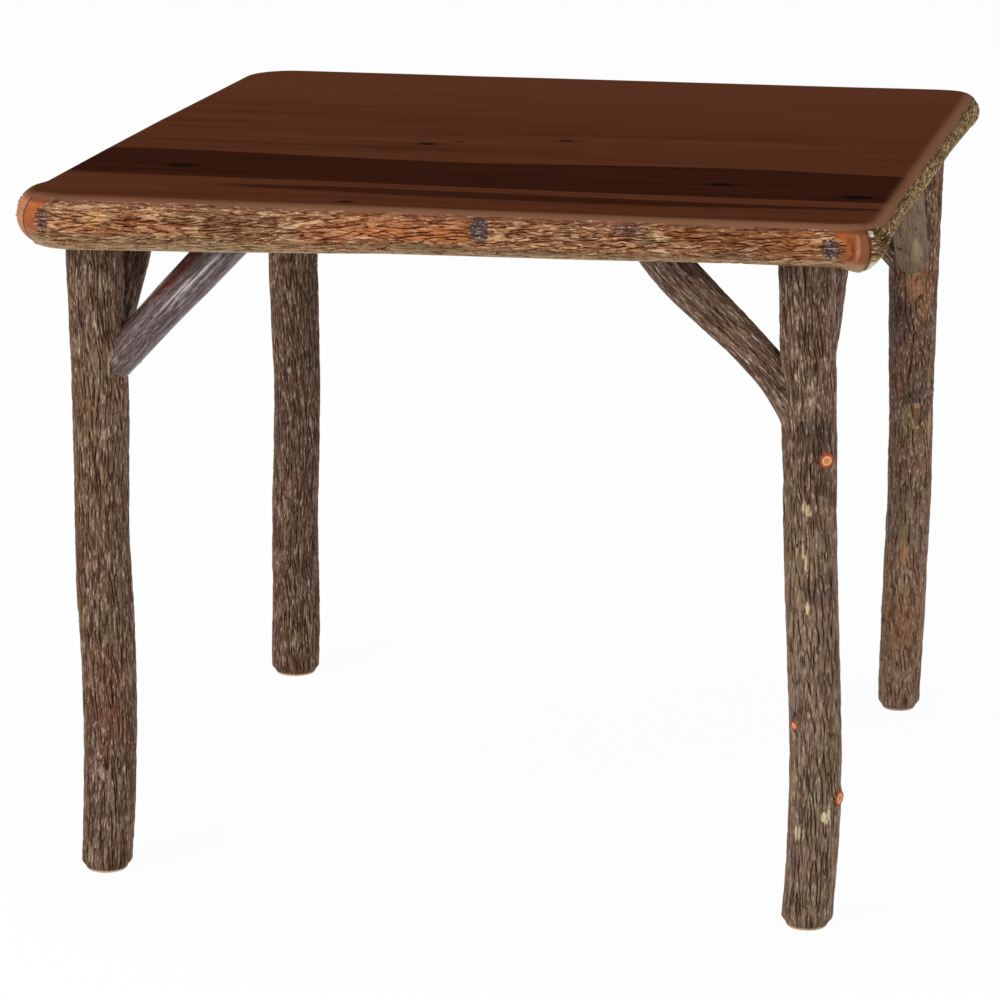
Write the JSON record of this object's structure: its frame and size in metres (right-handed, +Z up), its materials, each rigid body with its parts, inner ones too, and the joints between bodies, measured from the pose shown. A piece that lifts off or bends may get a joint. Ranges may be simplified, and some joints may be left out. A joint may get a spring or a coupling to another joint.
{
  "type": "rustic hickory table",
  "caption": "Square rustic dining table: plank top edged with bark-on half-log rails, on natural log legs stayed by angled log braces.",
  "frame": {"origin": "on the floor, under the middle of the top", "axes": "+Z up, +X to the table's right, -Y to its front, as seen in the picture"},
  "size_m": [0.9269, 0.9319, 0.762],
  "materials": {
    "stained_plank": "satin varnish over dark brown stain",
    "bark_rail": "varnished hickory bark, sawn wood at the mitred ends",
    "bark_leg": "varnished hickory bark",
    "bark_brace": "varnished hickory bark",
    "frame_wood": "plain sawn wood",
    "steel": "zinc-plated screws and bolts"
  },
  "bodies": {
    "root": {"top_board_1": "stained_plank", "top_board_2": "stained_plank", "top_board_3": "stained_plank", "top_board_4": "stained_plank", "top_board_5": "stained_plank", "top_board_6": "stained_plank", "front_rail": "bark_rail", "right_rail": "bark_rail", "back_rail": "bark_rail", "left_rail": "bark_rail", "front_left_leg": "bark_leg", "front_right_leg": "bark_leg", "back_right_leg": "bark_leg", "back_left_leg": "bark_leg", "front_brace_left": "bark_brace", "front_brace_right": "bark_brace", "left_brace_front": "bark_brace", "right_brace_front": "bark_brace", "back_brace_left": "bark_brace", "back_brace_right": "bark_brace", "left_brace_back": "bark_brace", "right_brace_back": "bark_brace", "front_left_block": "frame_wood", "front_right_block": "frame_wood", "back_right_block": "frame_wood", "back_left_block": "frame_wood", "left_batten": "frame_wood", "right_batten": "frame_wood", "front_spline": "frame_wood", "right_spline": "frame_wood", "back_spline": "frame_wood", "left_spline": "frame_wood", "leg_bolts": "steel", "brace_leg_screws": "steel", "brace_top_screws": "steel", "batten_screws": "steel", "block_screws": "steel"}
  },
  "joints": []
}
